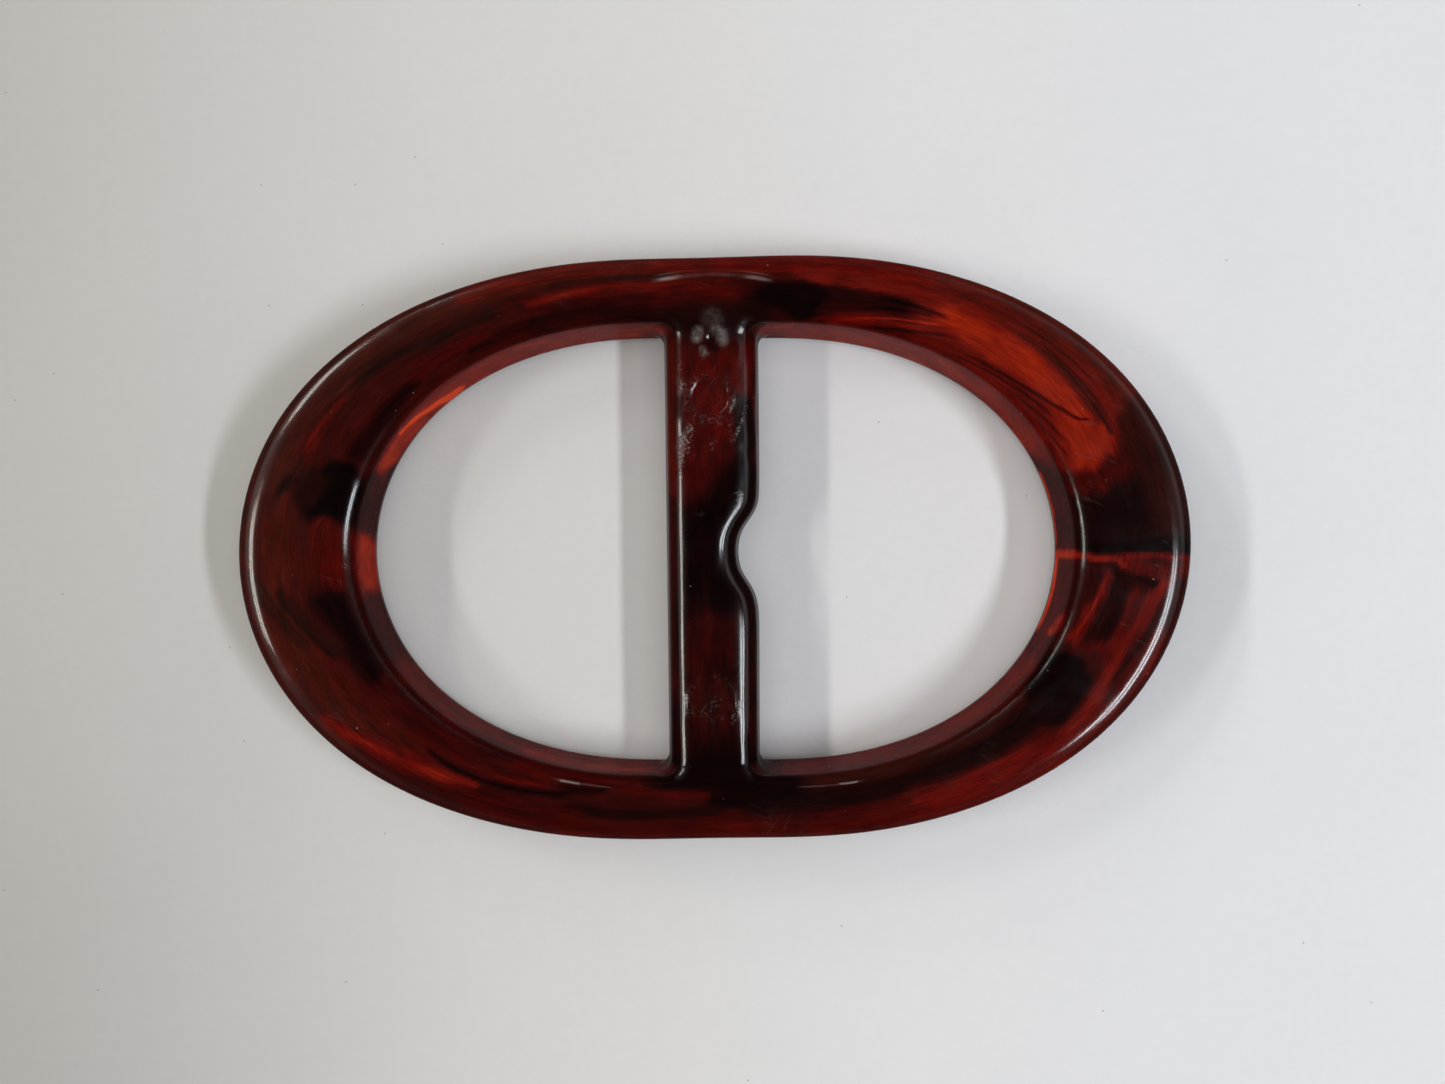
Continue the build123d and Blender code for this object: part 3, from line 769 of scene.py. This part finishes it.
def tortoiseshell():
    """Polished marbled plastic: near-black, dark red and clear orange clouds under a clear gloss."""
    m = bpy.data.materials.new("tortoiseshell")
    m.use_nodes = True
    N = Nodes(m.node_tree)
    bsdf = m.node_tree.nodes["Principled BSDF"]
    # cloud: marbling, with painted glow, painted reflection and painted highlights in it
    cloud = N.add("ShaderNodeAttribute", attribute_name="cloud").outputs["Vector"]
    run = N.add("ShaderNodeAttribute", attribute_name="run").outputs["Vector"]
    obj = N.scaled(N.add("ShaderNodeTexCoord").outputs["Object"], (1000, 1000, 1000))      # millimetres
    sep = N.add("ShaderNodeSeparateXYZ")
    N.put(sep.inputs[0], cloud)
    light, haze_and_sheen, scuff = sep.outputs

    # fine streaks drawn out along the flow, and a soft mottling
    streak = N.noise(run, 1.5, 5.0, 0.62, 0.35)
    thread = N.noise(N.scaled(run, (1.0, 1.0, 2.6)), 3.2, 4.0, 0.6, 0.2)
    mottle = N.noise(obj, 0.55, 3.0, 0.55)
    even = N.span(light, 0.55, 0.95, 1.0, 0.55)          # the clear clouds are smoother
    k = N.math("MULTIPLY_ADD", N.math("SUBTRACT", streak, 0.5), N.math("MULTIPLY", even, 1.10), 1.0)
    k = N.math("MULTIPLY_ADD", N.math("SUBTRACT", thread, 0.5), N.math("MULTIPLY", even, 0.75), k)
    k = N.math("MULTIPLY_ADD", N.math("SUBTRACT", mottle, 0.5), 0.35, k)
    tone = N.math("MULTIPLY", light, k)
    tone = N.math("MULTIPLY_ADD", N.math("SUBTRACT", thread, 0.5), 0.12, tone)

    # hair-thin streaks of the face, each a shallow curve across = f(angle)
    place = N.add("ShaderNodeAttribute", attribute_name="place").outputs["Vector"]
    ps = N.add("ShaderNodeSeparateXYZ")
    N.put(ps.inputs[0], place)
    angle = N.math("MULTIPLY", N.math("ARCTAN2", ps.outputs[1], ps.outputs[0]), 180 / math.pi)
    angle = N.math("MULTIPLY_ADD", N.math("SUBTRACT", mottle, 0.5), 2.0, angle)
    across = N.math("MULTIPLY_ADD", N.math("SUBTRACT", thread, 0.5), 0.020, ps.outputs[2])

    def hair(a0, a1, v0, vm, v1, w, depth):
        """A streak from angle a0 to a1 through v0, vm, v1 across; depth is how much it darkens."""
        u = N.math("MULTIPLY_ADD", angle, 1 / (a1 - a0), -a0 / (a1 - a0))
        c2 = 2 * v0 - 4 * vm + 2 * v1
        c1 = v1 - v0 - c2
        v = N.math("MULTIPLY_ADD", N.math("MULTIPLY_ADD", u, c2, c1), u, v0)
        near = N.math("SUBTRACT", 1.0, N.math("MULTIPLY", N.math("ABSOLUTE", N.math("SUBTRACT", across, v)), 1 / w), clamp=True)
        ends = N.math("MULTIPLY", N.span(u, 0.0, 0.18), N.span(u, 0.80, 1.0, 1.0, 0.0))
        return N.math("MULTIPLY", N.math("MULTIPLY", near, ends), depth)

    def hook(a0, a1, v0, v1, w, depth):
        """A streak that curls up like a quarter ellipse at its a0 end."""
        u = N.math("MULTIPLY_ADD", angle, 1 / (a1 - a0), -a0 / (a1 - a0), clamp=True)
        q = N.math("SUBTRACT", 1.0, u)
        e = N.math("SQRT", N.math("SUBTRACT", 1.0, N.math("MULTIPLY", q, q), clamp=True))
        v = N.math("MULTIPLY_ADD", N.math("SUBTRACT", 1.0, e), v0 - v1, v1)
        near = N.math("SUBTRACT", 1.0, N.math("MULTIPLY", N.math("ABSOLUTE", N.math("SUBTRACT", across, v)), 1 / w), clamp=True)
        ends = N.math("MULTIPLY", N.span(u, 0.002, 0.02), N.span(u, 0.70, 1.0, 1.0, 0.0))
        return N.math("MULTIPLY", N.math("MULTIPLY", near, ends), depth)

    shade = hook(22.3, 50, 0.50, 0.18, 0.030, 0.62)
    for args in (
            (25, 52, 0.245, 0.165, 0.110, 0.022, 0.45), (20, 44, 0.215, 0.140, 0.095, 0.018, 0.42),
            (18, 33, 0.170, 0.120, 0.095, 0.016, 0.40), (50.5, 62, 0.452, 0.465, 0.470, 0.040, 0.60),
            (52.0, 66, 0.430, 0.385, 0.315, 0.035, 0.50), (48.8, 66, 0.290, 0.180, 0.100, 0.030, 0.45),
            (54, 68, 0.305, 0.235, 0.165, 0.016, 0.35), (18, 33, 0.545, 0.570, 0.610, 0.020, 0.42),
            (19, 38, 0.590, 0.620, 0.655, 0.022, 0.35), (24, 44, 0.690, 0.700, 0.720, 0.025, 0.30),
            (163, 173, 0.590, 0.640, 0.710, 0.035, 0.35), (139, 160, 0.560, 0.600, 0.670, 0.030, 0.30),
            (133, 152, 0.435, 0.445, 0.475, 0.025, 0.30), (97, 119, 0.660, 0.672, 0.665, 0.020, 0.40),
            (106, 128, 0.715, 0.725, 0.720, 0.020, 0.25), (-174, -159, 0.680, 0.520, 0.380, 0.040, 0.45),
            (-178, -164, 0.820, 0.680, 0.520, 0.030, 0.40), (-158, -146, 0.470, 0.520, 0.560, 0.020, 0.25),
            (-140, -126, 0.410, 0.460, 0.455, 0.030, 0.45), (-130, -112, 0.460, 0.435, 0.360, 0.035, 0.45),
            (-124, -104, 0.150, 0.190, 0.240, 0.020, 0.30), (-70, -48, 0.500, 0.470, 0.490, 0.020, 0.30),
            (-26, -8, 0.640, 0.700, 0.760, 0.016, 0.30), (-18, -6, 0.310, 0.340, 0.360, 0.018, 0.35),
            (-88, -66, 0.560, 0.570, 0.560, 0.020, 0.25)):
        shade = N.math("MAXIMUM", shade, hair(*args))
    glow = hair(50, 69, 0.370, 0.270, 0.150, 0.024, 0.38)
    for args in ((52, 70, 0.335, 0.240, 0.120, 0.016, 0.25), (96, 122, 0.550, 0.545, 0.480, 0.040, 0.10),
                 (-152, -132, 0.770, 0.640, 0.560, 0.035, 0.14), (-20, -6, 0.175, 0.240, 0.290, 0.024, 0.25),
                 (153, 163.4, 0.580, 0.600, 0.610, 0.030, 0.15), (-134, -118, 0.360, 0.370, 0.320, 0.025, 0.15)):
        glow = N.math("MAXIMUM", glow, hair(*args))
    tone = N.math("MULTIPLY", tone, N.math("SUBTRACT", 1.0, shade))
    tone = N.math("ADD", tone, glow)
    base = N.ramp(N.math("MULTIPLY", tone, 0.7, clamp=True), [
        (0.000, (0.0016, 0.0008, 0.0010)),
        (0.070, (0.0050, 0.0014, 0.0016)),
        (0.140, (0.0165, 0.0019, 0.0019)),
        (0.230, (0.041, 0.0023, 0.0018)),
        (0.350, (0.088, 0.0030, 0.0018)),
        (0.470, (0.160, 0.0044, 0.0018)),
        (0.560, (0.230, 0.0080, 0.0018)),
        (0.700, (0.370, 0.0175, 0.0018)),
        (0.910, (0.640, 0.0360, 0.0040)),
        (1.000, (1.000, 0.0750, 0.0100)),
    ])
    base = N.scaled(base, (0.78, 0.78, 0.78))
    # the brown haze of the outer slope: a thin milky layer, and in part a painted reflection of the room
    veil_and_sheen = N.math("MULTIPLY", haze_and_sheen, N.math("MULTIPLY_ADD", streak, 0.9, 0.55))
    milky_sheen = N.add("ShaderNodeMix", data_type="RGBA", blend_type="ADD", clamp_result=True)
    N.put(milky_sheen.inputs[0], veil_and_sheen)
    N.put(milky_sheen.inputs[6], base)
    milky_sheen.inputs[7].default_value = (0.0075, 0.0062, 0.0034, 1)
    colour = milky_sheen.outputs[2]

    # hairline scratches in two directions, dust in the scuffed places, and painted highlights over the upper root and
    # on the lower lips
    def hairs(angle, density, scale):
        v = N.scaled(N.turned(obj, (0, 0, math.radians(angle))), (0.16, 2.6, 0.5))
        a = N.noise(v, scale, 1.0, 0.5, 0.15)
        line = N.math("SUBTRACT", 1.0, N.math("MULTIPLY", N.math("ABSOLUTE", N.math("SUBTRACT", a, 0.5)), 46.0), clamp=True)
        where = N.noise(N.scaled(obj, (0.4, 0.4, 0.4)), 0.9 + 0.01 * angle, 2.0, 0.5)
        return N.math("MULTIPLY", line, N.span(where, density, density + 0.10))

    matt = N.add("ShaderNodeAttribute", attribute_name="matt").outputs["Fac"]
    scratch = N.math("MAXIMUM", hairs(24, 0.60, 1.0), hairs(-52, 0.62, 1.15))
    scratch = N.math("MULTIPLY", scratch, N.math("SUBTRACT", 1.0, matt))
    # witness arc over the bar's upper root: a low step across the ring's face (a bump), and painted highlights along it
    # in two thin pale lines
    os_ = N.add("ShaderNodeSeparateXYZ")
    N.put(os_.inputs[0], obj)
    ax = N.math("ADD", os_.outputs[0], 0.1)
    rise = N.math("SUBTRACT", os_.outputs[1], N.math("MULTIPLY_ADD", N.math("MULTIPLY", ax, ax), -0.030, 16.80))
    inarc = N.math("MULTIPLY", N.span(N.math("ABSOLUTE", ax), 2.8, 3.9, 1.0, 0.0), N.span(os_.outputs[2], 4.3, 4.5))
    step = N.math("MULTIPLY", N.span(rise, -0.14, 0.14, 1.0, 0.0), inarc)
    arc = N.math("MULTIPLY", N.span(N.math("ABSOLUTE", rise), 0.0, 0.19, 1.0, 0.0), inarc)
    arc = N.math("MULTIPLY", arc, N.span(streak, 0.35, 0.62, 0.35, 1.0))
    twin_highlight = N.span(N.math("ABSOLUTE", N.math("SUBTRACT", rise, 0.30)), 0.0, 0.11, 0.16, 0.0)
    arc = N.math("MAXIMUM", arc, N.math("MULTIPLY", twin_highlight, inarc))
    crumb = N.span(N.noise(obj, 5.2, 3.0, 0.7), 0.50, 0.62)
    # painted highlights of the upper root: the negative part of the scuff channel, in blotches
    root_glint = N.math("MULTIPLY", scuff, -1.0, clamp=True)
    blotch = N.span(N.noise(obj, 2.2, 3.0, 0.55), 0.36, 0.60, 0.35, 1.0)
    root_glint = N.math("MULTIPLY", root_glint, blotch)
    scuff = N.math("MAXIMUM", scuff, 0.0)
    dull = N.math("MULTIPLY", scuff, crumb)
    pale_and_glints = N.math("MAXIMUM", N.math("MULTIPLY", scratch, 0.022), N.math("MULTIPLY", dull, 0.30))
    pale_and_glints = N.math("MAXIMUM", pale_and_glints, N.math("MULTIPLY", root_glint, 0.65))
    # painted highlights: short pale streaks on the lower lips, where glints fall
    for args in ((-77.5, -64.5, 0.238, 0.239, 0.236, 0.014, 0.09), (-70.0, -66.2, 0.236, 0.241, 0.238, 0.018, 0.50),
                 (-118.0, -107.0, 0.230, 0.236, 0.244, 0.016, 0.10), (-116.8, -113.0, 0.230, 0.234, 0.238, 0.020, 0.55)):
        pale_and_glints = N.math("MAXIMUM", pale_and_glints, hair(*args))
    # the painted arc highlight is stronger towards its ends
    ends = N.span(N.math("ABSOLUTE", ax), 1.6, 2.7, 0.08, 0.50)
    pale_and_glints = N.math("MAXIMUM", pale_and_glints, N.math("MULTIPLY", arc, ends))
    speck = N.span(N.noise(obj, 3.6, 0.0, 0.5), 0.885, 0.905, 0.0, 0.35)
    pale_and_glints = N.math("MAXIMUM", pale_and_glints, speck)
    colour = N.mix(pale_and_glints, colour, (0.42, 0.37, 0.34, 1))
    N.put(bsdf.inputs["Base Color"], colour)

    # gloss: handling has left it a little uneven
    smear = N.noise(obj, 0.35, 4.0, 0.6, 0.6)
    rough = N.math("MULTIPLY_ADD", N.span(smear, 0.35, 0.75), 0.06, 0.11)
    rough = N.math("MULTIPLY_ADD", dull, 0.25, rough)
    rough = N.math("MULTIPLY_ADD", scratch, 0.08, rough)
    bsdf.inputs["IOR"].default_value = 1.50
    # the walls of the openings drag on the mould core and come out a little duller
    N.put(bsdf.inputs["Specular IOR Level"], N.math("MULTIPLY_ADD", matt, -0.82, 0.84))
    rough = N.math("MULTIPLY_ADD", matt, 0.12, rough)
    N.put(bsdf.inputs["Roughness"], rough)

    # surface: faint moulding waves, scratches, and crumbling in the scuffs
    wave = N.noise(obj, 0.62, 2.0, 0.45)
    fine = N.noise(obj, 3.4, 2.0, 0.5)
    grit = N.noise(obj, 4.6, 4.0, 0.65)
    h = N.math("MULTIPLY", wave, 0.0070)
    h = N.math("MULTIPLY_ADD", fine, 0.0004, h)
    h = N.math("MULTIPLY_ADD", scratch, -0.0010, h)
    h = N.math("MULTIPLY_ADD", step, 0.060, h)
    h = N.math("MULTIPLY_ADD", N.math("MULTIPLY", scuff, grit), 0.050, h)
    bump = N.add("ShaderNodeBump")
    bump.inputs["Strength"].default_value = 1.0
    bump.inputs["Distance"].default_value = 0.001
    N.put(bump.inputs["Height"], h)
    N.put(bsdf.inputs["Normal"], bump.outputs[0])
    return m


shell = tortoiseshell()
for ob in (ring, bar):
    ob.data.materials.clear()
    ob.data.materials.append(shell)

# ------------------------------------------------------------------ studio
def sheet_of_paper():
    m = bpy.data.materials.new("paper")
    m.use_nodes = True
    N = Nodes(m.node_tree)
    bsdf = m.node_tree.nodes["Principled BSDF"]
    obj = N.add("ShaderNodeTexCoord").outputs["Object"]
    sep = N.add("ShaderNodeSeparateXYZ")
    N.put(sep.inputs[0], obj)
    # painted light falloff: the paper is darker and warmer on the left, lighter and cooler on the right
    side = N.math("MULTIPLY_ADD", sep.outputs[0], 1 / 0.096, 0.5, clamp=True)
    col = N.ramp(side, [(0.0, (0.565, 0.548, 0.520)), (0.30, (0.725, 0.710, 0.695)), (0.62, (0.835, 0.825, 0.840)),
                        (1.0, (0.865, 0.870, 0.900))])
    mm = N.scaled(obj, (1000, 1000, 1000))
    fibre = N.noise(mm, 1.1, 6.0, 0.62)
    cloud = N.noise(mm, 0.08, 3.0, 0.5)
    k = N.math("MULTIPLY_ADD", N.math("SUBTRACT", fibre, 0.5), 0.05, 1.0)
    k = N.math("MULTIPLY_ADD", N.math("SUBTRACT", cloud, 0.5), 0.05, k)
    # painted shade: the lower left corner of the paper is darker
    corner = N.math("MULTIPLY", N.span(sep.outputs[0], -0.005, -0.045), N.span(sep.outputs[1], 0.005, -0.036))
    k = N.math("MULTIPLY_ADD", corner, -0.14, k)
    speck = N.span(N.noise(mm, 2.3, 0.0, 0.5), 0.905, 0.92)
    k = N.math("MULTIPLY_ADD", speck, -0.45, k)
    mul = N.add("ShaderNodeMix", data_type="RGBA", blend_type="MULTIPLY")
    mul.inputs[0].default_value = 1.0
    N.put(mul.inputs[6], col)
    cmb = N.add("ShaderNodeCombineXYZ")
    for s in cmb.inputs:
        N.put(s, k)
    N.put(mul.inputs[7], cmb.outputs[0])
    N.put(bsdf.inputs["Base Color"], mul.outputs[2])
    bsdf.inputs["Roughness"].default_value = 0.95
    bsdf.inputs["Specular IOR Level"].default_value = 0.1
    bump = N.add("ShaderNodeBump")
    bump.inputs["Strength"].default_value = 0.5
    bump.inputs["Distance"].default_value = 0.00006
    N.put(bump.inputs["Height"], fibre)
    N.put(bsdf.inputs["Normal"], bump.outputs[0])
    return m


paper = bpy.data.meshes.new("paper")
s = 0.45
paper.from_pydata([(-s, -s, 0), (s, -s, 0), (s, s, 0), (-s, s, 0)], [], [(0, 1, 2, 3)])
floor = bpy.data.objects.new("paper", paper)
bpy.context.scene.collection.objects.link(floor)
floor.location.z = -0.00002
floor.data.materials.append(sheet_of_paper())


def strip(name, x, z, y0, y1, width, radiance, color):
    """A long thin soft light at a fixed x and z, from y0 to y1, turned to the object.  Its core lights
    the table and its wider glow is what the plastic mirrors; both carry the same energy."""
    at = Vector((x, 0.5 * (y0 + y1), z))
    zaxis = at.normalized()
    yaxis = (Vector((0, 1, 0)) - zaxis * zaxis.y).normalized()
    xaxis = yaxis.cross(zaxis)
    length = abs(y1 - y0) * math.sqrt(1 - zaxis.y ** 2)
    for part, wide in (("core", 0.35 * width), ("glow", width)):
        li = bpy.data.lights.new(name + "_" + part, "AREA")
        li.shape = "RECTANGLE"
        li.size, li.size_y = wide, length
        li.energy = radiance * math.pi * width * length
        li.color = color
        ob = bpy.data.objects.new(name + "_" + part, li)
        ob.location = at
        ob.rotation_euler = Matrix((xaxis, yaxis, zaxis)).transposed().to_euler()
        ob.visible_glossy = part == "glow"
        ob.visible_diffuse = part == "core"
        bpy.context.scene.collection.objects.link(ob)


rad = math.radians
WARM, COOL = (1.0, 0.965, 0.86), (0.90, 0.95, 1.0)
strip("right_strip", 0.50, 0.60, -0.01, -0.40, 0.16, 13.7, COOL)
strip("left_strip_a", -0.60, 0.50, 0.095, -0.195, 0.12, 10.8, WARM)
strip("left_strip_b", -0.60, 0.50, 0.56, 0.29, 0.12, 10.8, WARM)
strip("left_strip_c", -0.60, 0.50, 1.02, 0.81, 0.12, 10.8, WARM)

# soft light from the ceiling, which the plastic doesn't mirror
ceiling = bpy.data.lights.new("ceiling", "AREA")
ceiling.shape = "SQUARE"
ceiling.size = 1.4
ceiling.energy = 6.6
ceiling.color = (1.0, 0.99, 0.98)
above = bpy.data.objects.new("ceiling", ceiling)
above.location = (0, 0, 1.3)
above.visible_glossy = False
bpy.context.scene.collection.objects.link(above)

world = bpy.data.worlds.new("studio")
bpy.context.scene.world = world
world.use_nodes = True
W = Nodes(world.node_tree)
bg = world.node_tree.nodes["Background"]
tc = W.add("ShaderNodeTexCoord")
sep = W.add("ShaderNodeSeparateXYZ")
W.put(sep.inputs[0], tc.outputs["Generated"])
room = W.ramp(sep.outputs["Z"], [
    (0.00, (0.60, 0.59, 0.59)),
    (0.30, (0.52, 0.515, 0.515)),
    (0.50, (0.40, 0.40, 0.405)),
    (0.64, (0.20, 0.20, 0.204)),
    (0.78, (0.085, 0.085, 0.087)),
    (0.90, (0.020, 0.020, 0.021)),
    (1.00, (0.007, 0.007, 0.0075)),
])
# the room is bright to the left and right, dark beyond the object and darkest on the -Y side,
# where someone bends over the table
sides = W.span(W.math("ABSOLUTE", sep.outputs["X"]), 0.15, 0.80, 0.10, 1.15)
low = W.span(sep.outputs["Z"], 0.0, 0.30, 1.0, 0.0)
sides = W.math("MAXIMUM", sides, W.math("MULTIPLY", low, 0.7))
body = W.math("MULTIPLY", W.span(sep.outputs["Y"], 0.10, -0.50), W.span(sep.outputs["Z"], 0.10, 0.45))
right = W.math("MULTIPLY", W.span(sep.outputs["X"], 0.10, 0.50), W.span(sep.outputs["Z"], 0.45, 0.70))
fac = W.math("MULTIPLY", sides, W.math("MULTIPLY_ADD", body, -0.7, 1.0))
fac = W.math("MULTIPLY", fac, W.math("MULTIPLY_ADD", right, -0.5, 1.0))
dim = W.add("ShaderNodeVectorMath", operation="SCALE")
W.put(dim.inputs[0], room)
W.put(dim.inputs["Scale"], fac)
W.put(bg.inputs["Color"], dim.outputs[0])
bg.inputs["Strength"].default_value = 1.0

cam = bpy.data.cameras.new("camera")
cam.sensor_fit = "HORIZONTAL"
cam.sensor_width = 36.0
cam.lens = 36.1
cam.clip_start = 0.001
cam.clip_end = 10
camera = bpy.data.objects.new("camera", cam)
camera.location = (0.00046, 0.00035, 0.0940)
camera.rotation_euler = (0, 0, rad(-0.3))
bpy.context.scene.collection.objects.link(camera)
bpy.context.scene.camera = camera
bpy.context.scene.view_settings.view_transform = "Standard"
